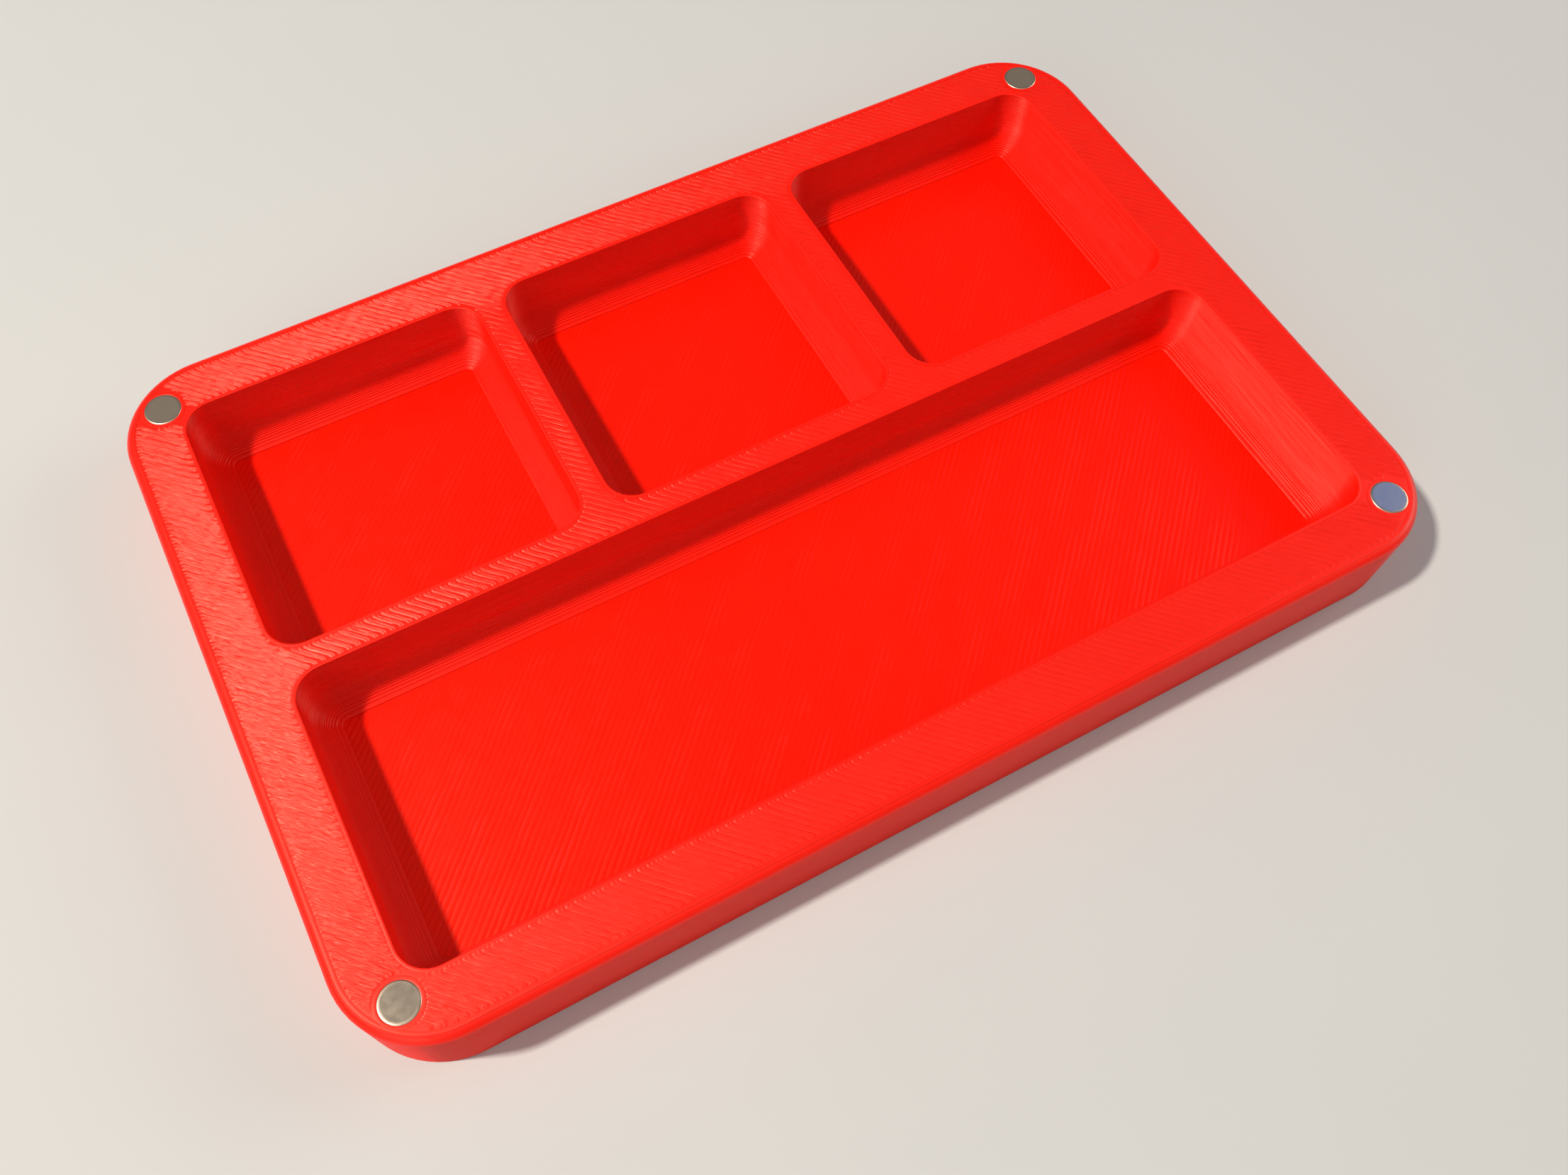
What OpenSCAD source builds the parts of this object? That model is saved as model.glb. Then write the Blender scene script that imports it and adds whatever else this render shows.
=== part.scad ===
// Sorting tray printed in one piece: a rear row of small compartments, one long
// compartment in front, a flat rim and four disc magnets set flush in its corners.
// Millimetres. The origin is at the centre of the underside, +X runs along the
// length to the right, -Y is the front and +Z is up.

/* [Tray] */
// Overall length from left to right
tray_length = 150; // [110:1:240]
// Overall width from front to rear
tray_width = 100; // [70:1:180]
// Overall height
tray_height = 12; // [9:0.5:40]
// Radius of the upright outer corners
outer_corner_radius = 12; // [8:0.5:14]
// Width and height of the bevel along the rim's outer edge
rim_bevel = 1; // [0.2:0.1:1.4]

/* [Compartments] */
// Width of the flat rim around the compartments
rim_width = 8; // [7.5:0.5:14]
// Thickness of the walls between the compartments
divider_width = 4; // [1.6:0.2:10]
// Thickness of the floor
floor_thickness = 2; // [0.8:0.2:4]
// Number of compartments in the rear row
rear_count = 3; // [1:1:5]
// Size of the rear row from front to rear
rear_depth = 40; // [20:1:60]
// Radius of the compartments' upright corners and of the curve down to their floor
compartment_radius = 4; // [2.5:0.5:6]

/* [Magnets] */
// Diameter of a disc magnet
magnet_diameter = 5; // [3:0.5:5.5]
// Thickness of a disc magnet
magnet_thickness = 2; // [1:0.5:8]
// Rounding of a magnet's plated edges
magnet_edge = 0.25; // [0.1:0.05:0.4]
// Gap all round between a magnet and the wall of its pocket
pocket_clearance = 0.05; // [0.02:0.01:0.2]

/* [Hidden] */
$fn = 96;

// How far a cut runs past the face that it opens
cut_past = 1;

// Colours of the printed plastic and of the magnets' plating
tray_colour = [0.88, 0.07, 0.05];
magnet_colour = [0.74, 0.73, 0.69];

// Floor-to-rim depth of every compartment
compartment_depth = tray_height - floor_thickness;

// Sizes of the space inside the rim, and of the compartments that share it
inner_length = tray_length - 2 * rim_width;
inner_width = tray_width - 2 * rim_width;
rear_length = (inner_length - (rear_count - 1) * divider_width) / rear_count;
front_depth = inner_width - divider_width - rear_depth;

// Centre lines of the two rows
rear_y = inner_width / 2 - rear_depth / 2;
front_y = front_depth / 2 - inner_width / 2;

// A magnet sits half way between the rim's outer corner and the compartment's
// corner, on the diagonal through both. These are its distances from the outer
// faces of the tray.
diagonal_in = 1 - cos(45);
corner_setback = outer_corner_radius * diagonal_in;
compartment_setback = rim_width + compartment_radius * diagonal_in;
magnet_setback = (corner_setback + compartment_setback) / 2;
magnet_x = tray_length / 2 - magnet_setback;
magnet_y = tray_width / 2 - magnet_setback;
magnet_bottom = tray_height - magnet_thickness;

// Rectangle with four round corners, centred on the origin
module rounded_rectangle(size_x, size_y, radius) {
  square([size_x - 2 * radius, size_y], center = true);
  square([size_x, size_y - 2 * radius], center = true);
  for (side_x = [-1, 1], side_y = [-1, 1])
    translate([side_x * (size_x / 2 - radius), side_y * (size_y / 2 - radius)])
      circle(radius);
}

// Cross-section of a slab of the given width whose upper edges are bevelled
module bevelled_section(width, bevel) {
  polygon([
    [-width / 2, 0],
    [width / 2, 0],
    [width / 2 - bevel, bevel],
    [bevel - width / 2, bevel]
  ]);
}

// Runs a section, drawn across Y and up Z, along X
module run_along_x(length) {
  rotate([90, 0, 90])
    linear_extrude(length, center = true)
      children();
}

// Outer block: upright walls, then the bevelled slab that finishes the rim
module outer_block() {
  straight_x = tray_length - 2 * outer_corner_radius;
  straight_y = tray_width - 2 * outer_corner_radius;
  wall_height = tray_height - rim_bevel;
  linear_extrude(wall_height)
    rounded_rectangle(tray_length, tray_width, outer_corner_radius);
  translate([0, 0, wall_height]) {
    run_along_x(straight_x)
      bevelled_section(tray_width, rim_bevel);
    rotate([0, 0, 90])
      run_along_x(straight_y)
        bevelled_section(tray_length, rim_bevel);
    for (side_x = [-1, 1], side_y = [-1, 1])
      translate([side_x * straight_x / 2, side_y * straight_y / 2, 0])
        cylinder(
          h = rim_bevel,
          r1 = outer_corner_radius,
          r2 = outer_corner_radius - rim_bevel
        );
  }
}

// Cross-section of a compartment, open at the top, with round lower corners
module hollow_section(width) {
  radius = compartment_radius;
  open_depth = compartment_depth + cut_past;
  translate([radius - width / 2, 0])
    square([width - 2 * radius, open_depth]);
  translate([-width / 2, radius])
    square([width, open_depth - radius]);
  for (side = [-1, 1])
    translate([side * (width / 2 - radius), radius])
      circle(radius);
}

// Round-ended post that forms one upright corner of a compartment
module hollow_corner() {
  radius = compartment_radius;
  rotate_extrude() {
    intersection() {
      translate([0, radius])
        circle(radius);
      square([radius, 2 * radius]);
    }
    translate([0, radius])
      square([radius, compartment_depth + cut_past - radius]);
  }
}

// Space of one compartment, with its floor at the origin's level
module compartment_hollow(size_x, size_y) {
  straight_x = size_x - 2 * compartment_radius;
  straight_y = size_y - 2 * compartment_radius;
  run_along_x(straight_x)
    hollow_section(size_y);
  rotate([0, 0, 90])
    run_along_x(straight_y)
      hollow_section(size_x);
  for (side_x = [-1, 1], side_y = [-1, 1])
    translate([side_x * straight_x / 2, side_y * straight_y / 2, 0])
      hollow_corner();
}

// The rear row and the long front compartment, in place
module compartments() {
  rear_pitch = rear_length + divider_width;
  translate([0, 0, floor_thickness]) {
    for (index = [0 : rear_count - 1])
      translate([(index - (rear_count - 1) / 2) * rear_pitch, rear_y, 0])
        compartment_hollow(rear_length, rear_depth);
    translate([0, front_y, 0])
      compartment_hollow(inner_length, front_depth);
  }
}

// Puts its children at a corner's magnet place, on the pocket's floor
module at_magnet(side_x, side_y) {
  translate([side_x * magnet_x, side_y * magnet_y, magnet_bottom])
    children();
}

// Blind pockets for the magnets, open at the rim
module magnet_pockets() {
  for (side_x = [-1, 1], side_y = [-1, 1])
    at_magnet(side_x, side_y)
      cylinder(h = magnet_thickness + cut_past, d = magnet_diameter + 2 * pocket_clearance);
}

// Half cross-section of a disc magnet with rounded edges
module magnet_section() {
  inner_radius = magnet_diameter / 2 - magnet_edge;
  square([inner_radius, magnet_thickness]);
  translate([0, magnet_edge])
    square([magnet_diameter / 2, magnet_thickness - 2 * magnet_edge]);
  for (level = [magnet_edge, magnet_thickness - magnet_edge])
    translate([inner_radius, level])
      circle(magnet_edge);
}

// One disc magnet in its corner of the rim
module magnet(side_x, side_y) {
  color(magnet_colour)
    at_magnet(side_x, side_y)
      rotate_extrude()
        magnet_section();
}

// The printed body with its compartments and magnet pockets
module tray_body() {
  color(tray_colour)
    difference() {
      outer_block();
      compartments();
      magnet_pockets();
    }
}

module magnet_front_left() {
  magnet(-1, -1);
}

module magnet_front_right() {
  magnet(1, -1);
}

module magnet_rear_left() {
  magnet(-1, 1);
}

module magnet_rear_right() {
  magnet(1, 1);
}

tray_body();
magnet_front_left();
magnet_front_right();
magnet_rear_left();
magnet_rear_right();
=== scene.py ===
"""Sorting tray as it came off the printer: stepped layers, laid roads and plated magnets."""

import math
from typing import NamedTuple

import bpy
import numpy as np
from mathutils import Matrix, Vector
from mathutils.geometry import tessellate_polygon


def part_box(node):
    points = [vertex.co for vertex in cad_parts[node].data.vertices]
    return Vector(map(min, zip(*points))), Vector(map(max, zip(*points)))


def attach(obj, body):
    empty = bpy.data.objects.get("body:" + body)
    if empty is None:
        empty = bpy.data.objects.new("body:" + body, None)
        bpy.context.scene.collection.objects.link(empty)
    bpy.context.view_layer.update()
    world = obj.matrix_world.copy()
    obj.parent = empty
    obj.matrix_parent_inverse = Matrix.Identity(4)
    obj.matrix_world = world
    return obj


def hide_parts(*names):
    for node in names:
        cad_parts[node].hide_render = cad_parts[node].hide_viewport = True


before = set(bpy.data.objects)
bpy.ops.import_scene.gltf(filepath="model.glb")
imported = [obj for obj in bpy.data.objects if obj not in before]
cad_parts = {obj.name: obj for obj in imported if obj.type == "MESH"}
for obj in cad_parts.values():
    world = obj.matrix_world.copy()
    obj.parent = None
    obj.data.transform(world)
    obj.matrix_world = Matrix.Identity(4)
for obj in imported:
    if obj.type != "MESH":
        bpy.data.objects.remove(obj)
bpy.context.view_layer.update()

bl_info = {
    "name": "Printed sorting tray",
    "version": (1, 0, 0),
    "blender": (4, 5, 0),
    "location": "View3D > Sidebar > Tray",
    "description": "Builds a printed sorting tray with its layers, surface roads and corner magnets",
    "category": "Add Mesh",
}

BODY = "root"
MAGNETS = ("magnet_front_left", "magnet_front_right", "magnet_rear_left", "magnet_rear_right")
TRAY_LOW, TRAY_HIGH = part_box("tray_body")
MAGNET_LOW, MAGNET_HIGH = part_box(MAGNETS[0])
MAGNET_RADIUS = (MAGNET_HIGH.x - MAGNET_LOW.x) / 2


def length_prop(name, description, default):
    """A length in metres that the sidebar shows in the scene's units."""
    return bpy.props.FloatProperty(
        name=name, description=description, default=default, unit="LENGTH", precision=5
    )


def share_prop(name, description, default):
    """A share between nothing and all."""
    return bpy.props.FloatProperty(
        name=name, description=description, default=default, subtype="FACTOR", min=0, max=1
    )


def colour_prop(name, description, default):
    """A scene-linear colour swatch."""
    return bpy.props.FloatVectorProperty(
        name=name, description=description, default=default, subtype="COLOR", min=0, max=1
    )


class TraySizes(bpy.types.PropertyGroup):
    """Sizes of the tray, taken from the frame where it holds them."""

    length: length_prop("Length", "Left to right", TRAY_HIGH.x - TRAY_LOW.x)
    width: length_prop("Width", "Front to rear", TRAY_HIGH.y - TRAY_LOW.y)
    height: length_prop("Height", "Underside to rim", TRAY_HIGH.z - TRAY_LOW.z)
    corner: length_prop("Outer corner", "Radius of the upright outer corners", 0.012)
    bevel: length_prop("Rim bevel", "Bevel along the rim's outer edge", 0.001)
    rim: length_prop("Rim", "Width of the rim round the compartments", 0.008)
    divider: length_prop("Divider", "Thickness of the walls between compartments", 0.004)
    floor: length_prop("Floor", "Thickness of the floor", 0.002)
    rear_depth: length_prop("Rear row", "Rear row from front to rear", 0.040)
    curve: length_prop("Compartment curve", "Radius of corners and floor curve", 0.004)
    rear_count: bpy.props.IntProperty(
        name="Rear compartments", description="Compartments in the rear row", default=3
    )


class PrintSizes(bpy.types.PropertyGroup):
    """Sizes that the printer leaves in the surface."""

    layer: length_prop("Layer", "Height of one printed layer", 0.0002)
    bulge: length_prop("Layer bulge", "How far a layer's edge stands out", 0.000110)
    crown: share_prop("Step crown", "Share of a step that its round edge takes up", 0.6)
    waver: length_prop("Layer waver", "How far layers wander from each other", 0.000010)
    road: length_prop("Edge road", "Width of the road along an edge", 0.00044)
    edge_groove: length_prop("Edge groove", "Depth of the grooves beside an edge road", 0.000014)
    pitch: length_prop("Road pitch", "Spacing of the diagonal roads", 0.0003935)
    width: length_prop("Rim road", "Width of a diagonal road of the rim", 0.00046)
    floor_width: length_prop("Floor road", "Width of a diagonal road of the floors", 0.00048)
    groove: length_prop("Rim groove", "Depth of the grooves between pairs of rim roads", 0.000066)
    floor_groove: length_prop(
        "Floor groove", "Depth of the grooves between pairs of floor roads", 0.000060
    )
    pairing: length_prop("Pairing", "How far two roads lean together", 0.000060)
    shared: share_prop("Rim pairs", "How far a pair of rim roads shares one crown", 0.64)
    floor_shared: share_prop("Floor pairs", "How far a pair of floor roads shares one crown", 0.90)
    sway: length_prop("Sway", "How far a road wanders from its line", 0.000020)
    surge: length_prop("Surge", "How much fuller a road is where it starts", 0.000007)
    finger: length_prop("Finger", "Length of the turn where two roads join", 0.00060)
    sink: length_prop("Sink", "How far the rim lies below the magnets", 0.000060)


class TrayColours(bpy.types.PropertyGroup):
    """Colours of the tray and its stage."""

    plastic: colour_prop("Plastic", "Printed plastic", (0.97, 0.0080, 0.0006))
    plastic_deep: colour_prop("Deep plastic", "Where the plastic is thicker", (0.92, 0.0055, 0.0004))
    nickel: colour_prop("Nickel", "Plating of the magnets", (0.72, 0.59, 0.46))
    scuff: colour_prop("Scuffed nickel", "Plating where it is rubbed", (0.58, 0.47, 0.36))
    backdrop: colour_prop("Floor", "Pale floor under the tray", (0.62, 0.62, 0.615))


# Meshes


def grid_faces(rows, columns, first=0, closed_rows=False, closed_columns=True):
    """Quads between neighbouring rows and columns of a grid of points stored row by row."""
    index = first + np.arange(rows * columns).reshape(rows, columns)
    if closed_rows:
        index = np.vstack([index, index[:1]])
    if closed_columns:
        index = np.hstack([index, index[:, :1]])
    corners = (index[:-1, :-1], index[:-1, 1:], index[1:, 1:], index[1:, :-1])
    return np.stack(corners, axis=-1).reshape(-1, 4)


class Surface:
    """Collects points and faces of any size, then writes them into one mesh.

    Each point also has a run, its way up over the layers, and may have a number for how worn it is.
    """

    def __init__(self):
        self.points = []
        self.count = 0
        self.faces = []
        self.worn = None
        self.runs = []

    def add_points(self, points, run=0.0):
        """Adds points of shape (..., 3), each with its run, and returns the index of the first."""
        flat = np.asarray(points, dtype=float).reshape(-1, 3)
        first = self.count
        self.points.append(flat)
        self.runs.append(np.broadcast_to(run, len(flat)))
        self.count += len(flat)
        return first

    def add_faces(self, faces):
        """Adds faces, one per row, all with the same number of corners."""
        self.faces.append(np.asarray(faces, dtype=np.int32))

    def add_stack(self, stack, closed_rows=False, inside_out=False):
        """Adds closed loops of shape (loops, points, 3) and the quads that join them.

        Each point's run is the length of the way up to it over the loops below.
        """
        rise = np.linalg.norm(np.diff(stack[:, 0], axis=0), axis=1)
        run = np.append(0.0, np.cumsum(rise))
        first = self.add_points(stack, np.repeat(run, stack.shape[1]))
        quads = grid_faces(stack.shape[0], stack.shape[1], first, closed_rows)
        self.add_faces(quads[:, ::-1] if inside_out else quads)
        return first

    def build(self, name, sharp_degrees):
        """Makes the object, smooth but for edges sharper than the given angle."""
        points = np.concatenate(self.points)
        corners = np.concatenate([f.ravel() for f in self.faces])
        sizes = np.concatenate([np.full(len(f), f.shape[1]) for f in self.faces])
        starts = np.concatenate([[0], np.cumsum(sizes)[:-1]])
        mesh = bpy.data.meshes.new(name)
        mesh.vertices.add(len(points))
        mesh.vertices.foreach_set("co", points.ravel())
        mesh.loops.add(len(corners))
        mesh.loops.foreach_set("vertex_index", corners.astype(np.int32))
        mesh.polygons.add(len(sizes))
        mesh.polygons.foreach_set("loop_start", starts.astype(np.int32))
        mesh.update(calc_edges=True)
        mesh.validate()
        mesh.shade_smooth()
        mesh.set_sharp_from_angle(angle=math.radians(sharp_degrees))
        run = np.concatenate(self.runs)
        mesh.attributes.new("run", "FLOAT", "POINT").data.foreach_set("value", run)
        if self.worn is not None:
            mesh.attributes.new("worn", "FLOAT", "POINT").data.foreach_set("value", self.worn)
        piece = bpy.data.objects.new(name, mesh)
        bpy.context.collection.objects.link(piece)
        return piece


def rounded_loops(half_x, half_y, radius, centre=(0.0, 0.0), per_corner=9):
    """Rounded rectangles, one per row: four arcs of the row's radius about its corner centres."""
    half_x, half_y, radius = np.broadcast_arrays(
        np.atleast_1d(half_x), np.atleast_1d(half_y), np.atleast_1d(radius)
    )
    angle = np.linspace(0, np.pi / 2, per_corner)
    angles = (angle[None, :] + np.pi / 2 * np.arange(4)[:, None]).ravel()
    sign_x = np.repeat([1, -1, -1, 1], per_corner)
    sign_y = np.repeat([1, 1, -1, -1], per_corner)
    x = centre[0] + sign_x * (half_x - radius)[:, None] + radius[:, None] * np.cos(angles)
    y = centre[1] + sign_y * (half_y - radius)[:, None] + radius[:, None] * np.sin(angles)
    return np.stack([x, y], axis=-1)


def lifted(loops, heights):
    """Gives each loop of shape (loops, points, 2) its own height."""
    z = np.broadcast_to(np.asarray(heights)[:, None, None], loops.shape[:2] + (1,))
    return np.concatenate([loops, z], axis=-1)


def circle_loops(radii, centre, count):
    """Circles about one centre, one per radius."""
    turn = np.linspace(0, 2 * np.pi, count, endpoint=False)
    ring = np.stack([np.cos(turn), np.sin(turn)], axis=-1)
    return np.asarray(centre) + np.asarray(radii)[:, None, None] * ring


def compartments(sizes):
    """Centre and half sizes of each compartment: the rear row from left to right, then the front."""
    inner_x = sizes.length / 2 - sizes.rim
    inner_y = sizes.width / 2 - sizes.rim
    gaps = (sizes.rear_count - 1) * sizes.divider
    rear_half = (2 * inner_x - gaps) / sizes.rear_count / 2
    front_half = (2 * inner_y - sizes.divider - sizes.rear_depth) / 2
    rear_step = 2 * rear_half + sizes.divider
    middle = (sizes.rear_count - 1) / 2
    found = [
        ((step - middle) * rear_step, inner_y - sizes.rear_depth / 2, rear_half, sizes.rear_depth / 2)
        for step in range(sizes.rear_count)
    ]
    found.append((0.0, front_half - inner_y, inner_x, front_half))
    return found


def magnet_places():
    """Centre of each magnet in plan, from the frame."""
    boxes = [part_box(name) for name in MAGNETS]
    return [((low.x + high.x) / 2, (low.y + high.y) / 2) for low, high in boxes]


# Directions of the seven points round a layer's edge, from its underside to its top
NOSE_ANGLE = np.radians([-84, -56, -28, 0, 28, 56, 84])


def layer_profile(insets, base, printing, jitter):
    """Upright outline of a stack of printed layers.

    Each layer's edge is half an ellipse, as high as the layer and as deep as the bulge, whose
    nose stands at the layer's inset. Where the next layer stands back, the upper half is drawn out
    over a share of the step. Returns insets and heights from the bottom up, seven points to a
    layer, where a positive inset is towards the open side.
    """
    insets = np.asarray(insets)
    step = np.append(insets[:-1] - insets[1:], 0.0)
    crown = np.maximum(printing.bulge, printing.crown * step)
    deep = np.where(NOSE_ANGLE > 0, crown[:, None], printing.bulge)
    across = deep * (np.cos(NOSE_ANGLE) - 1)
    up = printing.layer / 2 * (1 + np.sin(NOSE_ANGLE))
    level = base + printing.layer * np.arange(len(insets))
    inset = (insets + jitter)[:, None] + across
    return inset.ravel(), (level[:, None] + up[None, :]).ravel()


# Tilts at the bevel's upper and lower ends, points along it, and its ribs as a share of the bulge
BEVEL_TILT = np.radians([20, 70])
BEVEL_POINTS = 21
BEVEL_RIB = 0.06


def bevel_profile(sizes, printing, top):
    """Outline of the rim's bevel: an arc between two tilts, faintly ribbed by its layers.

    Returns how far each point is drawn in and its height, from the wall up to the rim.
    """
    tilt = np.linspace(BEVEL_TILT[1], BEVEL_TILT[0], BEVEL_POINTS)
    out, rise = np.sin(tilt), np.cos(tilt)
    share_in = (out[0] - out) / (out[0] - out[-1])
    share_up = (rise - rise[0]) / (rise[-1] - rise[0])
    layers = share_up * sizes.bevel / printing.layer
    rib = BEVEL_RIB * printing.bulge * (1 - np.cos(layers * 2 * np.pi))
    foot = sizes.height - sizes.bevel
    return share_in * sizes.bevel + rib, foot + share_up * (top - foot)


def rim_level(sizes, printing):
    """Height of the highest roads of the rim, just under the magnets' faces."""
    return sizes.height - printing.sink


# How much the drag lines are weakened on the outer walls
OUTER_CALM = 0.8
# The most that a road can lie below the highest one, in surges
ROAD_DROPS = 6
OUTER_CORNER_POINTS = 17
POCKET_POINTS = 48
POCKET_GAP = 0.00005
LAYER_SEED = 11


def tray_shell(sizes, printing):
    """Closed skin of the print: stacked outer layers, rim, compartments, pockets and underside.

    Its outer walls carry weaker drag lines than its compartments.
    """
    rng = np.random.default_rng(LAYER_SEED)
    skin = Surface()
    layer = printing.layer
    bed = ROAD_DROPS * printing.surge
    top = rim_level(sizes, printing) - printing.groove - bed
    half_x, half_y = sizes.length / 2, sizes.width / 2

    # Outer wall: upright layers up to the bevel's foot, then the bevel
    count = round((sizes.height - sizes.bevel) / layer)
    waver = rng.uniform(-printing.waver, 0, count)
    outward, heights = layer_profile(np.zeros(count), 0.0, printing, waver)
    bevel_in, bevel_up = bevel_profile(sizes, printing, top)
    drawn_in = np.append(-outward, bevel_in)
    heights = np.append(heights, bevel_up)
    loops = rounded_loops(
        half_x - drawn_in,
        half_y - drawn_in,
        sizes.corner - drawn_in,
        per_corner=OUTER_CORNER_POINTS,
    )
    first = skin.add_stack(lifted(loops, heights))
    outer_count = skin.count
    columns = loops.shape[1]
    skin.add_faces(first + np.arange(columns)[None, ::-1])
    rims = [(first + (len(loops) - 1) * columns, loops[-1])]

    # Compartments: inset at a layer's middle follows the floor curve, a quarter circle
    deep = round((sizes.height - sizes.floor) / layer)
    above = (np.arange(deep) + 0.5) * layer
    drop = np.clip(sizes.curve - above, 0, None)
    curve_inset = sizes.curve - np.sqrt(sizes.curve**2 - drop**2)
    for x, y, inner_x, inner_y in compartments(sizes):
        waver = rng.uniform(-printing.waver, printing.waver, deep)
        inward, heights = layer_profile(curve_inset, sizes.floor, printing, waver)
        heights[0] = sizes.floor - printing.floor_groove
        below = heights < sizes.height - layer
        under_road = -printing.road / 4
        inward = np.append(inward[below], under_road)
        heights = np.append(heights[below], top)
        loops = rounded_loops(
            inner_x - inward, inner_y - inward, sizes.curve - inward, centre=(x, y)
        )
        first = skin.add_stack(lifted(loops, heights), inside_out=True)
        columns = loops.shape[1]
        skin.add_faces(first + np.arange(columns)[None, :])
        rims.append((first + (len(loops) - 1) * columns, loops[-1]))

    # Magnet pockets
    pocket_radius = MAGNET_RADIUS + POCKET_GAP
    for place in magnet_places():
        loops = circle_loops([pocket_radius, pocket_radius], place, POCKET_POINTS)
        first = skin.add_stack(lifted(loops, [MAGNET_LOW.z, top]), inside_out=True)
        skin.add_faces(first + np.arange(POCKET_POINTS)[None, :])
        rims.append((first + POCKET_POINTS, loops[-1]))

    # Rim: flat, between the outer edge and every opening
    index = np.concatenate([start + np.arange(len(loop)) for start, loop in rims])
    outlines = [[Vector((px, py, 0)) for px, py in loop] for _, loop in rims]
    triangles = index[np.array(tessellate_polygon(outlines))]
    points = np.concatenate(skin.points)[:, :2]
    a, b, c = (points[triangles[:, k]] for k in range(3))
    area = (b[:, 0] - a[:, 0]) * (c[:, 1] - a[:, 1]) - (b[:, 1] - a[:, 1]) * (c[:, 0] - a[:, 0])
    triangles[area < 0] = triangles[area < 0][:, ::-1]
    skin.add_faces(triangles)
    skin.worn = np.where(np.arange(skin.count) < outer_count, OUTER_CALM, 0.0)
    return skin


# Crown of a road: places across it in road widths, and drops there in groove depths
ROAD_ACROSS = np.array([-0.5, -0.36, -0.18, 0.18, 0.36, 0.5])
ROAD_DOWN = np.array([1.0, 0.62, 0.18, 0.18, 0.62, 1.0])
# Rounded road along a compartment's edge: places outwards and drops, both in road widths
EDGE_OUT = np.array([0.023, 0.0, 0.027, 0.09, 0.227, 0.6, 1.0])
EDGE_DOWN = np.array([0.34, 0.227, 0.114, 0.041, 0.0, 0.0, 0.04])
# Road round a magnet, whose inner side laps over the pocket's gap, in the same way
LIP_OUT = np.array([-0.16, -0.08, 0.10, 0.5, 1.0])
LIP_DOWN = np.array([0.06, 0.02, 0.0, 0.0, 0.04])
LIP_POINTS = 64
# How steeply the dome that two roads share falls away from its middle
DOME_POWER = 1.6


def rounded_distance(points, half_x, half_y, radius, centre):
    """Signed distance from a rounded rectangle's outline, negative inside."""
    qx = np.abs(points[..., 0] - centre[0]) - (half_x - radius)
    qy = np.abs(points[..., 1] - centre[1]) - (half_y - radius)
    outside = np.hypot(np.maximum(qx, 0), np.maximum(qy, 0))
    return outside + np.minimum(np.maximum(qx, qy), 0) - radius


DRIFT_WAVES = 5
DRIFT_LENGTHS = (0.6, 1.6)


def drift(points, wave, seed):
    """Slow waves over the plan, about -1 to 1: five sines of random heading, length and phase."""
    rng = np.random.default_rng(seed)
    heading = rng.uniform(0, 2 * np.pi, DRIFT_WAVES)
    length = wave * rng.uniform(*DRIFT_LENGTHS, DRIFT_WAVES)
    phase = rng.uniform(0, 2 * np.pi, DRIFT_WAVES)
    travel = points[..., :1] * np.cos(heading) + points[..., 1:2] * np.sin(heading)
    return np.sin(2 * np.pi * travel / length + phase).sum(axis=-1) / (DRIFT_WAVES / 2)


def diagonal_roads(clearance, reach, slope, printing):
    """Straight diagonal roads clipped to a region.

    Lines at 45 degrees lie one pitch apart. Each is sampled along its length, and every run of
    samples where clearance(points) is positive becomes one road, with its ends set where the
    clearance crosses zero. Returns starts, ends and line numbers.
    """
    sample = printing.pitch / 4
    along = np.array([1.0, slope]) / math.sqrt(2)
    across = np.array([-slope, 1.0]) / math.sqrt(2)
    lines = np.arange(-int(reach / printing.pitch), int(reach / printing.pitch) + 1)
    offset = lines * printing.pitch
    travel = np.arange(-reach, reach, sample)
    points = offset[:, None, None] * across + travel[None, :, None] * along
    clear = clearance(points)
    inside = np.pad(clear > 0, ((0, 0), (1, 1)))
    row, begin = np.nonzero(inside[:, 1:-1] & ~inside[:, :-2])
    _, finish = np.nonzero(inside[:, 1:-1] & ~inside[:, 2:])
    before = clear[row, np.maximum(begin - 1, 0)]
    after = clear[row, np.minimum(finish + 1, clear.shape[1] - 1)]
    start = travel[begin] - sample * clear[row, begin] / (clear[row, begin] - before)
    end = travel[finish] + sample * clear[row, finish] / (clear[row, finish] - after)
    long_enough = end - start > printing.pitch / 2
    row, start, end = row[long_enough], start[long_enough], end[long_enough]
    base = offset[row, None] * across
    return base + start[:, None] * along, base + end[:, None] * along, lines[row]


# Places along a bent end, from the road to its tip
BEND = np.array([0.25, 0.5, 0.75, 1.0])
# How close two ends must lie to be joined, and how close their tips then come, in pitches
JOIN_REACH = 2.2
JOINED_GAP = 0.92
# Lengths of the bend's two legs as shares of the finger. The first leg is longer where a road meets
# the edge at a slant, down to the least squareness.
KNEE_SHARE = 0.4
TIP_SHARE = 0.66
LEAST_SQUARE = 0.3


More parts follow.
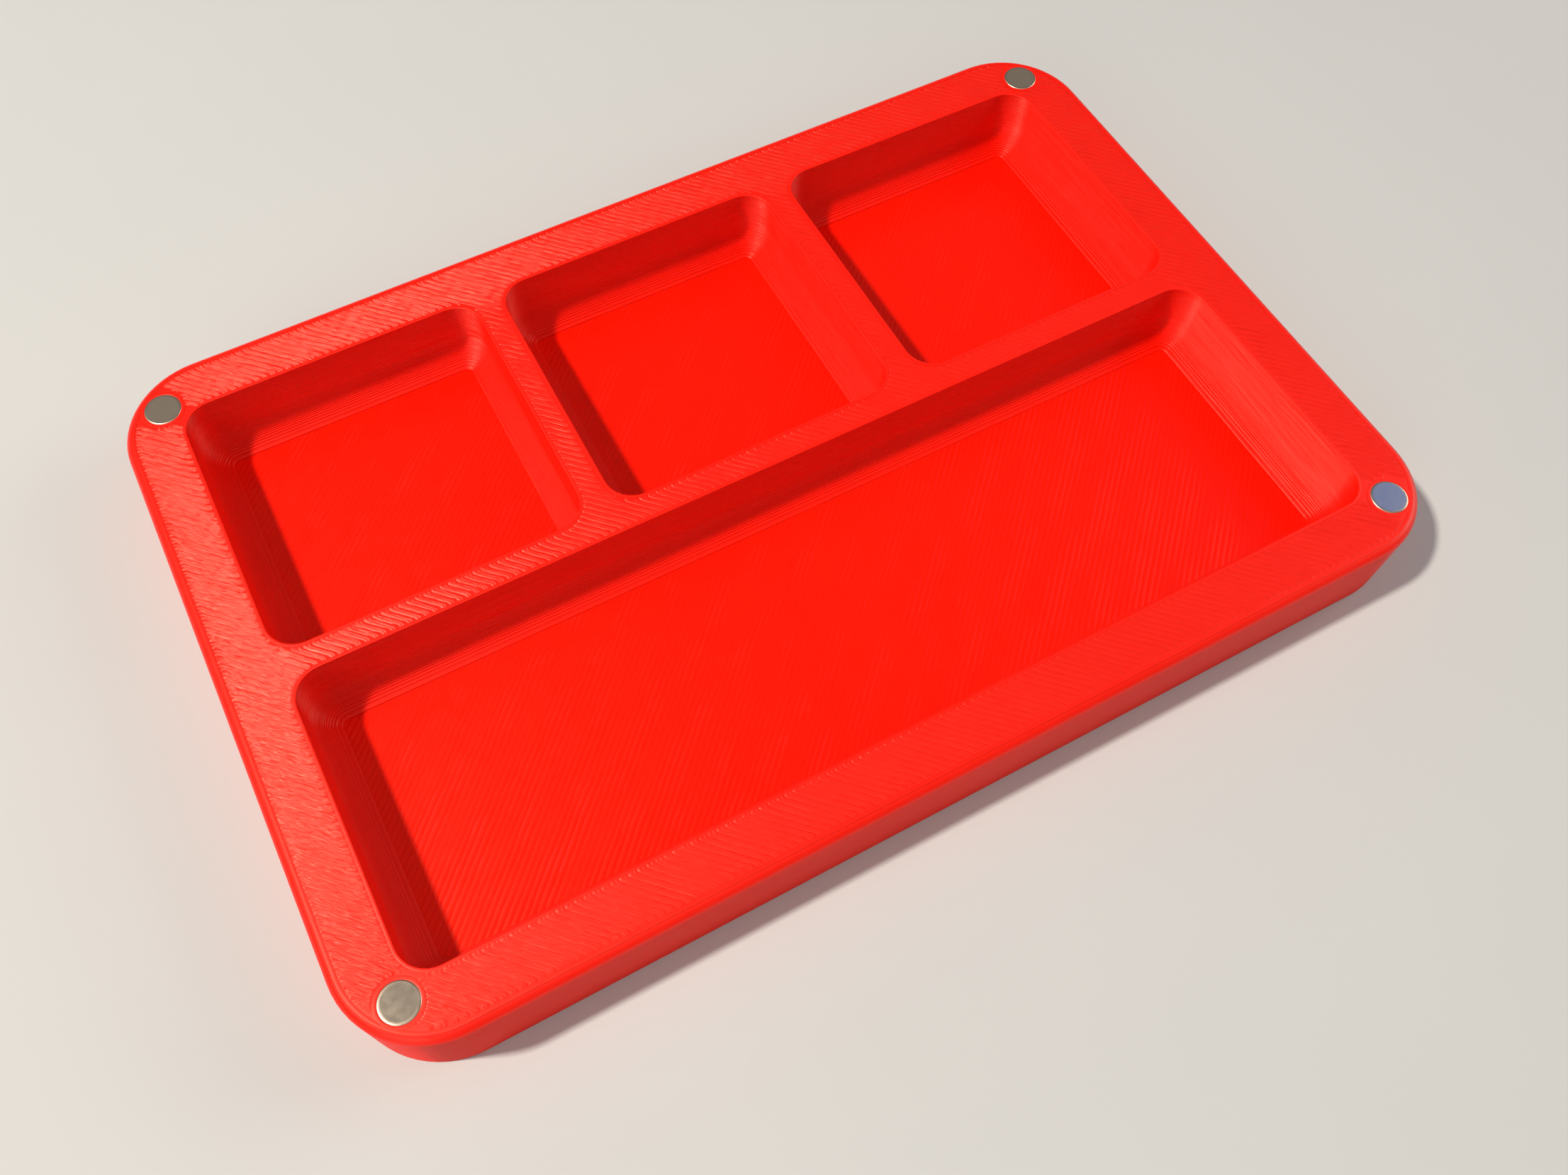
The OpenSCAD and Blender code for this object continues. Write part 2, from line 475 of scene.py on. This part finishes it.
def road_ends(starts, ends, lines, clearance, printing):
    """Bent ends of roads that turn back at an edge, as two arrays of shape (roads, 4, 2).

    Neighbouring roads are joined at their far ends and near ends by turns. Each end is a
    quadratic curve: it leaves along the road, bends until it meets the edge squarely, and moves
    along the edge until it lies against the end of the road that it is joined to.
    """
    nudge = printing.pitch / 10
    t = BEND[None, :, None]
    bent = []
    for tips, tails, parity in ((starts, ends, 1), (ends, starts, 0)):
        ahead = tips - tails
        ahead /= np.linalg.norm(ahead, axis=1, keepdims=True)
        slope_x = clearance(tips + [nudge, 0]) - clearance(tips - [nudge, 0])
        slope_y = clearance(tips + [0, nudge]) - clearance(tips - [0, nudge])
        out = -np.stack([slope_x, slope_y], axis=-1)
        out /= np.linalg.norm(out, axis=1, keepdims=True)
        apart = tips[None, :] - tips[:, None]
        gap = np.linalg.norm(apart, axis=-1)
        partner = np.where(lines % 2 == parity, 1, -1)
        joined = lines[None, :] - lines[:, None] == partner[:, None]
        gap = np.where(joined & (gap < JOIN_REACH * printing.pitch), gap, np.inf)
        other = gap.argmin(axis=1)
        gap = gap.min(axis=1)
        found = np.isfinite(gap)
        gap = np.where(found, gap, printing.pitch)
        towards = apart[np.arange(len(tips)), other] / gap[:, None]
        close_up = np.where(found, np.maximum(gap - printing.pitch * JOINED_GAP, 0) / 2, 0)
        square = np.clip((out * ahead).sum(axis=1), LEAST_SQUARE, 1)
        knee = tips + ahead * (KNEE_SHARE * printing.finger / square)[:, None]
        last = knee + out * (TIP_SHARE * printing.finger) + towards * close_up[:, None]
        bent.append(
            (1 - t) ** 2 * tips[:, None] + 2 * t * (1 - t) * knee[:, None] + t**2 * last[:, None]
        )
    return bent


# Lengths of the slow waves of lean, sway, fullness and groove
LEAN_WAVE = 0.009
SWAY_WAVE = 0.006
FULL_WAVE = 0.004
GROOVE_WAVE = 0.006
# Middle and swing of the lean, and middle, swing and least of the groove's depth
LEAN_RANGE = (0.6, 0.4)
GROOVE_RANGE = (0.70, 0.45, 0.2)
# How far a bent end's tip drops, in grooves, and its width as a share of the road's
TIP_DROP = 0.4
TIP_WIDTH = 0.75
# Longest stretch of a road between two of its sections
ROAD_STEP = 0.002


def lay_diagonals(surface, starts, ends, lines, top, section, printing, seed, bent=None):
    """Lays diagonal roads that lean together in pairs and start fuller than they end.

    Neighbours are laid in opposite directions, so the fuller ends alternate. The lean comes and
    goes with slow waves over the surface. The section is a road's width, its groove's depth and
    how far a pair shares one crown.
    """
    rng = np.random.default_rng(seed)
    width, groove, shared = section
    ahead = ends - starts
    length = np.linalg.norm(ahead, axis=1)
    ahead /= length[:, None]
    side = np.stack([-ahead[:, 1], ahead[:, 0]], axis=-1)
    odd = np.where(lines % 2 == 0, 1.0, -1.0)
    low = rng.uniform(0, printing.surge, len(lines))
    aside = rng.uniform(-printing.sway, printing.sway, len(lines))
    counts = np.maximum(np.ceil(length / ROAD_STEP).astype(int), 1) + 1
    lean_middle, lean_swing = LEAN_RANGE
    groove_middle, groove_swing, groove_least = GROOVE_RANGE
    for count in np.unique(counts):
        some = counts == count
        t = np.linspace(0, 1, count)
        paths = starts[some][:, None] + (ends - starts)[some][:, None] * t[None, :, None]
        lean = lean_middle + lean_swing * drift(paths, LEAN_WAVE, seed + 1)
        lean = printing.pairing / 2 * lean
        sway = aside[some][:, None] + printing.sway * drift(paths, SWAY_WAVE, seed + 3)
        paths = paths + side[some][:, None] * (odd[some][:, None] * lean + sway)[..., None]
        if bent:
            paths = np.concatenate([bent[0][some][:, ::-1], paths, bent[1][some]], axis=1)
            t = np.concatenate([np.zeros(len(BEND)), t, np.ones(len(BEND))])
        fall = printing.surge * (1 + odd[some][:, None] * (2 * t - 1))
        fall = fall + low[some][:, None]
        fall = fall + printing.surge * (1 + drift(paths, FULL_WAVE, seed + 2))
        widths = np.full(paths.shape[:2], width)
        if bent:
            fall[:, [0, -1]] += groove * TIP_DROP
            widths[:, [0, -1]] *= TIP_WIDTH
        ease = groove_middle + groove_swing * drift(paths, GROOVE_WAVE, seed + 4)
        ease = np.clip(ease, groove_least, 1.0)
        lay_roads(surface, paths, widths, top - fall, odd[some], groove * ease, shared)


def lay_roads(surface, paths, widths, crowns, partner, grooves, shared):
    """Carries a low crown along each path of shape (roads, points, 2) and closes it below.

    The crown is a blend of a parabola of the road's own and one side of a dome that it shares
    with its partner.
    """
    roads, count = paths.shape[:2]
    ahead = np.gradient(paths, axis=1)
    ahead /= np.linalg.norm(ahead, axis=-1, keepdims=True)
    side = np.stack([-ahead[..., 1], ahead[..., 0]], axis=-1)
    spread = widths[..., None] * ROAD_ACROSS
    plan = paths[:, :, None] + side[:, :, None] * spread[..., None]
    away = 0.5 - ROAD_ACROSS[None, :] * partner[:, None]
    fall = (1 - shared) * ROAD_DOWN + shared * away**DOME_POWER
    height = crowns[..., None] - fall[:, None, :] * grooves[..., None]
    first = surface.add_points(np.concatenate([plan, height[..., None]], axis=-1))
    ring = len(ROAD_ACROSS)
    one = grid_faces(count, ring)[:, ::-1]
    step = first + count * ring * np.arange(roads)
    surface.add_faces((step[:, None, None] + one).reshape(-1, 4))
    cap = np.arange(ring)
    surface.add_faces(step[:, None] + cap[None, :])
    surface.add_faces(step[:, None] + (count - 1) * ring + cap[None, ::-1])


def lay_edge_road(surface, loops, heights):
    """Carries the road's crown round closed outlines, one loop for each point across the road."""
    surface.add_stack(lifted(loops, heights), closed_rows=True)


# Where the lower road starts, in road widths, and how far it lies down, in grooves
FILL_START = 0.9
FILL_DROP = 0.8
# How far the outermost road laps over the bevel, in road widths
BEVEL_LAP = 0.12
# Keeps lower roads that cross each other at different heights
STAGGER = 0.000003


def held_inside(loops, corner, radius):
    """Moves points outside a rounded rectangle straight back to its outline.

    The rectangle is given by its corner's centre and radius.
    """
    middle = np.clip(loops, -corner, corner)
    out = loops - middle
    away = np.linalg.norm(out, axis=-1, keepdims=True)
    return middle + out * radius / np.maximum(away, radius)


def held_outside(loops, centre, radius):
    """Moves points inside a circle straight out to it."""
    out = loops - np.asarray(centre)
    away = np.linalg.norm(out, axis=-1, keepdims=True)
    return np.asarray(centre) + out * np.maximum(1, radius / away)


def edge_roads(sizes, printing):
    """Roads along every edge of the rim's last layer, each with a second, lower one beside it.

    The lower one fills in where the diagonals run beside an edge. It is held off the bevel and
    off the magnets, under the upper roads there.
    """
    surface = Surface()
    top, road = rim_level(sizes, printing), printing.road
    half_x, half_y = sizes.length / 2, sizes.width / 2
    lower = road * FILL_START + (printing.finger + printing.pitch) * (0.5 + ROAD_ACROSS)
    low = top - FILL_DROP * printing.groove - printing.edge_groove * ROAD_DOWN
    under = road * (0.5 - ROAD_ACROSS)[:, None, None]
    corner = np.array([half_x - sizes.corner, half_y - sizes.corner])

    crown = top - printing.edge_groove * ROAD_DOWN
    for spread, heights in ((road * (0.5 + ROAD_ACROSS), crown), (lower, low)):
        inset = sizes.bevel - road * BEVEL_LAP + spread
        loops = rounded_loops(
            half_x - inset, half_y - inset, sizes.corner - inset, per_corner=OUTER_CORNER_POINTS
        )
        for place in magnet_places():
            loops = held_outside(loops, place, MAGNET_RADIUS + under)
        lay_edge_road(surface, loops[::-1], heights[::-1])
    edge = top - road * EDGE_DOWN
    for spread, heights in ((road * EDGE_OUT, edge), (lower, low - STAGGER)):
        for x, y, inner_x, inner_y in compartments(sizes):
            loops = rounded_loops(inner_x + spread, inner_y + spread, sizes.curve + spread, (x, y))
            lay_edge_road(surface, loops, heights)
    for place in magnet_places():
        loops = circle_loops(MAGNET_RADIUS + road * LIP_OUT, place, LIP_POINTS)
        lay_edge_road(surface, loops, top - road * LIP_DOWN)
        loops = circle_loops(MAGNET_RADIUS + lower, place, LIP_POINTS)
        loops = held_inside(loops, corner, sizes.corner - sizes.bevel - under)
        lay_edge_road(surface, loops, low - 2 * STAGGER)
    return surface


# How much the drag lines are weakened in the middle of the dividers
DIVIDER_CALM = 0.5
RIM_SEED = 41
FLOOR_SEED = 53


def rim_roads(sizes, printing):
    """Diagonal roads of the rim's last layer, between the roads along its edges.

    Their drag lines fade over one divider's width, from the rim's inner edge inwards.
    """
    surface = Surface()
    half_x, half_y = sizes.length / 2, sizes.width / 2
    keep = printing.road + printing.finger
    inset = sizes.bevel + keep

    def clearance(points):
        """How far each point lies from the nearest edge road, negative outside the rim."""
        clear = -rounded_distance(
            points, half_x - inset, half_y - inset, sizes.corner - inset, (0, 0)
        )
        for x, y, inner_x, inner_y in compartments(sizes):
            wall = rounded_distance(points, inner_x, inner_y, sizes.curve, (x, y))
            clear = np.minimum(clear, wall - keep)
        for place in magnet_places():
            wall = np.linalg.norm(points - np.array(place), axis=-1) - MAGNET_RADIUS
            clear = np.minimum(clear, wall - keep)
        return clear

    reach = (half_x + half_y) / math.sqrt(2)
    starts, ends, lines = diagonal_roads(clearance, reach, -1, printing)
    bent = road_ends(starts, ends, lines, clearance, printing)
    section = (printing.width, printing.groove, printing.shared)
    top = rim_level(sizes, printing)
    lay_diagonals(surface, starts, ends, lines, top, section, printing, RIM_SEED, bent)
    plan = np.abs(np.concatenate(surface.points)[:, :2])
    within = np.min(np.array([half_x, half_y]) - sizes.rim - plan, axis=1)
    surface.worn = DIVIDER_CALM * np.clip(within / sizes.divider, 0, 1)
    return surface


def floor_roads(sizes, printing):
    """Diagonal roads of each compartment's floor, which run on under the first step of its wall."""
    surface = Surface()
    drop = sizes.curve - printing.layer / 2
    first_step = sizes.curve - math.sqrt(sizes.curve**2 - drop**2)
    tuck = first_step - printing.road / 2
    section = (printing.floor_width, printing.floor_groove, printing.floor_shared)
    for x, y, inner_x, inner_y in compartments(sizes):

        def clearance(points):
            """How far each point lies inside the floor's outline."""
            return -rounded_distance(
                points, inner_x - tuck, inner_y - tuck, sizes.curve - tuck, (x, y)
            )

        reach = (abs(x) + abs(y) + inner_x + inner_y) / math.sqrt(2)
        starts, ends, lines = diagonal_roads(clearance, reach, 1, printing)
        lay_diagonals(
            surface, starts, ends, lines, sizes.floor, section, printing, FLOOR_SEED
        )
    return surface


DISC_POINTS = 96
DISC_EDGE = 0.00025
DISC_DOME = 0.00001
EDGE_POINTS = 9
FACE_POINTS = 8
# Radius of the flat in the middle, and where the rubbed edge starts and how wide it is, in radii
DISC_HUB = 0.12
RUB_START = 0.86
RUB_WIDTH = 0.10


def disc_magnet(low, high):
    """Turned disc: a profile of flat, rounded edge, side and underside carried round its axis."""
    radius = (high.x - low.x) / 2
    edge = DISC_EDGE
    hub = radius * DISC_HUB
    centre = ((low.x + high.x) / 2, (low.y + high.y) / 2)
    turn = np.linspace(0, np.pi / 2, EDGE_POINTS)
    bottom_r = radius - edge + edge * np.sin(turn)
    bottom_z = low.z + edge - edge * np.cos(turn)
    face_r = np.linspace(radius - edge, hub, FACE_POINTS)
    face_z = high.z - DISC_DOME * (1 - (1 - face_r / (radius - edge)) ** 2)
    top_z = face_z[0] - edge + edge * np.cos(turn[::-1])
    radii = np.concatenate([[hub], bottom_r, bottom_r[::-1], face_r[1:]])
    heights = np.concatenate([[low.z], bottom_z, top_z, face_z[1:]])
    surface = Surface()
    rubbed = np.clip((radii - RUB_START * radius) / (RUB_WIDTH * radius), 0, 1)
    surface.worn = np.repeat(rubbed, DISC_POINTS)
    loops = circle_loops(radii, centre, DISC_POINTS)
    first = surface.add_stack(lifted(loops, heights))
    ring = np.arange(DISC_POINTS)[None, :]
    surface.add_faces(first + ring[:, ::-1])
    surface.add_faces(first + (len(radii) - 1) * DISC_POINTS + ring)
    return surface


# Materials


class Wire:
    """A node's output that takes part in sums: each operation adds one Math node."""

    def __init__(self, tree, socket):
        self.tree = tree
        self.socket = socket

    def _math(self, operation, first, second):
        settings = {"operation": operation}
        return add_node(self.tree, "ShaderNodeMath", settings, {0: first, 1: second})

    def __add__(self, other):
        return self._math("ADD", self, other)

    def __radd__(self, other):
        return self._math("ADD", other, self)

    def __sub__(self, other):
        return self._math("SUBTRACT", self, other)

    def __rsub__(self, other):
        return self._math("SUBTRACT", other, self)

    def __mul__(self, other):
        return self._math("MULTIPLY", self, other)

    def __rmul__(self, other):
        return self._math("MULTIPLY", other, self)


def add_node(tree, kind, settings=None, inputs=None, output=0):
    """Adds a node, applies its settings, then fills or links its sockets, and returns an output."""
    node = tree.nodes.new(kind)
    for key, value in (settings or {}).items():
        setattr(node, key, value)
    for key, value in (inputs or {}).items():
        if isinstance(value, Wire):
            tree.links.new(value.socket, node.inputs[key])
        else:
            node.inputs[key].default_value = value
    return Wire(tree, node.outputs[output])


def new_material(name):
    """An empty node material, returned with its tree."""
    material = bpy.data.materials.new(name)
    material.use_nodes = True
    material.node_tree.nodes.clear()
    return material, material.node_tree


def finish_material(tree, shader):
    """Links a shader to the material's output."""
    output = tree.nodes.new("ShaderNodeOutputMaterial")
    tree.links.new(shader.socket, output.inputs["Surface"])


def object_place(tree):
    """Object coordinates of the point that is shaded."""
    return add_node(tree, "ShaderNodeTexCoord", output="Object")


def attribute(tree, name):
    """A number that the mesh holds at each point, or zero where it has none."""
    return add_node(tree, "ShaderNodeAttribute", {"attribute_name": name}, output="Fac")


def noise(tree, coordinates, scale, detail=2.0, rough=0.5):
    """Fractal noise between 0 and 1."""
    sockets = {"Vector": coordinates, "Scale": scale, "Detail": detail, "Roughness": rough}
    return add_node(tree, "ShaderNodeTexNoise", {}, sockets)


# Places of the Mix node's factor, two colours and mixed colour among sockets of the same names
MIX_FACTOR = 0
MIX_FIRST = 6
MIX_SECOND = 7
MIX_RESULT = 2


def blend_colours(tree, factor, first, second):
    """Mixes two colours by a factor."""
    sockets = {MIX_FACTOR: factor, MIX_FIRST: (*first, 1), MIX_SECOND: (*second, 1)}
    settings = {"data_type": "RGBA"}
    return add_node(tree, "ShaderNodeMix", settings, sockets, output=MIX_RESULT)


class Finish(NamedTuple):
    """How plastic that was laid in one way takes the light.

    The heading, the stretch along each axis and the depth are those of its drag lines or grain.
    The gloss, the least roughness and the highlights' tint are the shader's.
    """

    heading: float
    stretch: tuple
    depth: float
    gloss: float
    rough: float
    tint: tuple


LAID = {
    "layers": Finish(0.0, (300, 300, 300), 0.000016, 0.54, 0.32, (1.0, 0.90, 0.70, 1.0)),
    "rim": Finish(math.pi / 4, (1, 60, 60), 0.000036, 0.63, 0.31, (1.0, 0.92, 0.70, 1.0)),
    "edge": Finish(0.0, (1, 1, 1), 0.000004, 0.50, 0.36, (1.0, 0.92, 0.70, 1.0)),
    "floor": Finish(0.0, (1, 1, 1), 0.000005, 0.34, 0.27, (1.0, 0.88, 0.56, 1.0)),
}
PLASTIC_IOR = 1.46
CLOUD_SCALE = 70.0
PATCH_SCALE = 420.0
PATCH_ROUGHNESS = 0.10
# Drag lines to a metre, how much closer they lie along the run, and how finely the bump reads them
LINE_SCALE = 30000.0
RUN_SCALE = 2.0
LINE_FILTER = 0.02


def printed_plastic(colours, laid):
    """Satin printed plastic: cloudy depth of colour, patchy sheen and fine drag lines or grain.

    The drag lines are noise that is drawn out along the way the plastic was laid and changes with
    the run over the layers. They are weaker where the surface is worn.
    """
    material, tree = new_material("plastic_" + laid)
    finish = LAID[laid]
    place = object_place(tree)
    cloud = noise(tree, place, CLOUD_SCALE, detail=3.0)
    patch = noise(tree, place, PATCH_SCALE, detail=3.0)
    along = add_node(tree, "ShaderNodeMapping", {"vector_type": "TEXTURE"}, {
        "Vector": place,
        "Rotation": (0, 0, finish.heading),
        "Scale": finish.stretch,
    })
    lines = add_node(tree, "ShaderNodeTexNoise", {"noise_dimensions": "4D"}, {
        "Vector": along,
        "W": attribute(tree, "run") * RUN_SCALE,
        "Scale": LINE_SCALE,
        "Detail": 0.0,
    })
    bump = add_node(tree, "ShaderNodeBump", {}, {
        "Distance": finish.depth,
        "Filter Width": LINE_FILTER,
        "Height": lines * (1.0 - attribute(tree, "worn")),
    })
    shader = add_node(tree, "ShaderNodeBsdfPrincipled", {}, {
        "Base Color": blend_colours(tree, cloud, colours.plastic_deep, colours.plastic),
        "Roughness": finish.rough + PATCH_ROUGHNESS * patch,
        "IOR": PLASTIC_IOR,
        "Specular IOR Level": finish.gloss,
        "Specular Tint": finish.tint,
        "Normal": bump,
    })
    finish_material(tree, shader)
    return material


SMEAR_SCALE = 900.0
SCRATCH_SCALE = 1500.0
SCRATCH_HEADING = 0.7
SCRATCH_STRETCH = (1, 14, 1)
SCRATCH_DEPTH = 0.00001
SCRATCH_STRENGTH = 0.15
# Least roughness of the plating, and what its smears, its scratches and its rubbed edge add
PLATE_ROUGHNESS = 0.10
SMEAR_ROUGHNESS = 0.12
SCRATCH_ROUGHNESS = 0.06
RUB_ROUGHNESS = 0.22


def nickel_plate(colours):
    """Bright nickel with cloudy rub marks, fine scratches and a duller edge."""
    material, tree = new_material("nickel_plate")
    place = object_place(tree)
    smear = noise(tree, place, SMEAR_SCALE, detail=4.0, rough=0.6)
    stretched = add_node(tree, "ShaderNodeMapping", {}, {
        "Vector": place,
        "Rotation": (0, 0, SCRATCH_HEADING),
        "Scale": SCRATCH_STRETCH,
    })
    scratch = noise(tree, stretched, SCRATCH_SCALE, detail=3.0, rough=0.7)
    marks = SMEAR_ROUGHNESS * smear + SCRATCH_ROUGHNESS * scratch
    rubbed = RUB_ROUGHNESS * attribute(tree, "worn")
    bump = add_node(tree, "ShaderNodeBump", {}, {
        "Strength": SCRATCH_STRENGTH,
        "Distance": SCRATCH_DEPTH,
        "Height": scratch,
    })
    shader = add_node(tree, "ShaderNodeBsdfPrincipled", {}, {
        "Base Color": blend_colours(tree, smear, colours.scuff, colours.nickel),
        "Metallic": 1.0,
        "Roughness": PLATE_ROUGHNESS + marks + rubbed,
        "Normal": bump,
    })
    finish_material(tree, shader)
    return material


MOTTLE_SCALE = 30.0
MOTTLE_SHADE = 0.97
FLOOR_ROUGHNESS = 0.9


def pale_floor(colours):
    """Plain pale floor with the faintest mottle."""
    material, tree = new_material("pale_floor")
    mottle = noise(tree, object_place(tree), MOTTLE_SCALE)
    shade = tuple(MOTTLE_SHADE * c for c in colours.backdrop)
    shader = add_node(tree, "ShaderNodeBsdfPrincipled", {}, {
        "Base Color": blend_colours(tree, mottle, shade, colours.backdrop),
        "Roughness": FLOOR_ROUGHNESS,
    })
    finish_material(tree, shader)
    return material


def dress(piece, material, slot, *nodes):
    """Gives a piece its finish and ties it to the frame."""
    piece.data.materials.append(material)
    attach(piece, BODY)
    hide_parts(*nodes)


# Operators


# Edges sharper than this many degrees stay sharp, on whole forms and on roads
SHARP_FORM = 40
SHARP_ROAD = 60


class TRAY_OT_body(bpy.types.Operator):
    """Build the printed body with its layers"""

    bl_idname = "tray.body"
    bl_label = "Printed body"

    def execute(self, context):
        scene = context.scene
        piece = tray_shell(scene.tray_sizes, scene.tray_printing).build("tray_print", SHARP_FORM)
        dress(piece, printed_plastic(scene.tray_colours, "layers"), "tray", "tray_body")
        return {"FINISHED"}


class TRAY_OT_roads(bpy.types.Operator):
    """Lay the roads of the rim and of the floors"""

    bl_idname = "tray.roads"
    bl_label = "Surface roads"

    def execute(self, context):
        scene = context.scene
        for laid, make in (("edge", edge_roads), ("rim", rim_roads), ("floor", floor_roads)):
            roads = make(scene.tray_sizes, scene.tray_printing)
            piece = roads.build(laid + "_roads", SHARP_ROAD)
            dress(piece, printed_plastic(scene.tray_colours, laid), "tray", "tray_body")
        return {"FINISHED"}


class TRAY_OT_magnets(bpy.types.Operator):
    """Set the four disc magnets into the rim"""

    bl_idname = "tray.magnets"
    bl_label = "Corner magnets"

    def execute(self, context):
        plate = nickel_plate(context.scene.tray_colours)
        for name in MAGNETS:
            disc = disc_magnet(*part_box(name))
            piece = disc.build(name.replace("magnet", "disc"), SHARP_FORM)
            dress(piece, plate, "magnet", name)
        return {"FINISHED"}


# The photograph's view, solved from the magnets and the rim's straight edges
CAMERA_PLACE = Vector((-0.04985, -0.08453, 0.15936))
CAMERA_AIM = Vector((-0.01203, -0.01651, 0.012))
CAMERA_ROLL = math.radians(1.2527)
CAMERA_LENS = 30.57
CAMERA_SENSOR = 36.0
CAMERA_SHIFT_X = 0.0239
CAMERA_NEAR = 0.005
# Name, place, size, power and colour of each lamp
LAMPS = (
    ("key", (-0.525, 0.125, 0.825), 0.0625, 9.1, (1.0, 0.94, 0.84)),
    ("right", (0.80, -0.12, 0.38), 0.50, 2.5, (1.0, 0.96, 0.90)),
    ("left", (-0.60, -0.50, 0.40), 0.40, 1.15, (1.0, 0.96, 0.90)),
    ("front", (-0.10, -0.45, 0.75), 0.50, 0.5, (1.0, 0.97, 0.93)),
    ("above", (-0.13, 0.22, 0.86), 0.30, 0.075, (1.0, 0.97, 0.92)),
    ("cool", (0.528, 0.114, 0.583), 0.20, 0.10, (0.18, 0.36, 1.0)),
    ("rear", (-0.146, 0.567, 0.612), 0.20, 0.031, (1.0, 0.96, 0.90)),
    ("corner", (0.485, 0.493, 0.528), 0.20, 0.022, (1.0, 0.96, 0.90)),
)
WORLD_COLOUR = (0.9, 0.9, 0.9, 1)
WORLD_STRENGTH = 0.13
STAGE_HALF = 3.0
STAGE_LEVEL = -0.0001


def aimed(place, aim, roll=0.0):
    """Matrix of a camera or lamp at a place, looking at a point, with its top up."""
    turn = (aim - place).to_track_quat("-Z", "Y").to_matrix().to_4x4()
    return Matrix.Translation(place) @ turn @ Matrix.Rotation(roll, 4, "Z")


def add_lamp(name, place, size, power, colour):
    """A square soft lamp that looks at the tray."""
    data = bpy.data.lights.new(name, "AREA")
    data.size = size
    data.energy = power
    data.color = colour
    lamp = bpy.data.objects.new(name, data)
    lamp.matrix_world = aimed(Vector(place), Vector((0, 0, 0)))
    bpy.context.collection.objects.link(lamp)


def stage_plane():
    """One flat square under the tray."""
    side = STAGE_HALF * np.array([(-1, -1), (1, -1), (1, 1), (-1, 1)])
    surface = Surface()
    first = surface.add_points(lifted(side[None], [STAGE_LEVEL]))
    surface.add_faces(first + np.arange(4)[None, :])
    return surface


def add_world(scene):
    """Even grey light from all round."""
    world = bpy.data.worlds.new("studio")
    world.use_nodes = True
    background = world.node_tree.nodes["Background"]
    background.inputs["Color"].default_value = WORLD_COLOUR
    background.inputs["Strength"].default_value = WORLD_STRENGTH
    scene.world = world


def add_camera(scene):
    """Camera at the photograph's viewing angle."""
    data = bpy.data.cameras.new("camera")
    data.lens = CAMERA_LENS
    data.sensor_width = CAMERA_SENSOR
    data.shift_x = CAMERA_SHIFT_X
    data.clip_start = CAMERA_NEAR
    camera = bpy.data.objects.new("camera", data)
    camera.matrix_world = aimed(CAMERA_PLACE, CAMERA_AIM, CAMERA_ROLL)
    bpy.context.collection.objects.link(camera)
    scene.camera = camera


class TRAY_OT_stage(bpy.types.Operator):
    """Set the pale floor, the lamps and the camera"""

    bl_idname = "tray.stage"
    bl_label = "Stage"

    def execute(self, context):
        scene = context.scene
        floor = stage_plane().build("stage_floor", SHARP_FORM)
        floor.data.materials.append(pale_floor(scene.tray_colours))
        for lamp in LAMPS:
            add_lamp(*lamp)
        add_world(scene)
        add_camera(scene)
        scene.view_settings.view_transform = "Standard"
        return {"FINISHED"}


OPERATORS = (TRAY_OT_stage, TRAY_OT_body, TRAY_OT_roads, TRAY_OT_magnets)
GROUPS = {"tray_sizes": TraySizes, "tray_printing": PrintSizes, "tray_colours": TrayColours}


class TRAY_PT_sidebar(bpy.types.Panel):
    """Sizes, colours and steps of the tray"""

    bl_idname = "TRAY_PT_sidebar"
    bl_label = "Sorting tray"
    bl_space_type = "VIEW_3D"
    bl_region_type = "UI"
    bl_category = "Tray"

    def draw(self, context):
        """Lists every size and colour, then a button for each step."""
        for name in GROUPS:
            box = self.layout.box()
            group = getattr(context.scene, name)
            for prop in group.__annotations__:
                box.prop(group, prop)
        for operator in OPERATORS:
            self.layout.operator(operator.bl_idname)


CLASSES = (*GROUPS.values(), *OPERATORS, TRAY_PT_sidebar)


def register():
    """Adds the classes and ties the groups of sizes and colours to the scene."""
    for cls in CLASSES:
        bpy.utils.register_class(cls)
    for name, group in GROUPS.items():
        setattr(bpy.types.Scene, name, bpy.props.PointerProperty(type=group))


def unregister():
    """Takes everything away again."""
    for name in GROUPS:
        delattr(bpy.types.Scene, name)
    for cls in reversed(CLASSES):
        bpy.utils.unregister_class(cls)


def main():
    """Builds the stage and the tray."""
    register()
    bpy.ops.tray.stage()
    bpy.ops.tray.body()
    bpy.ops.tray.roads()
    bpy.ops.tray.magnets()


if __name__ == "__main__":
    main()
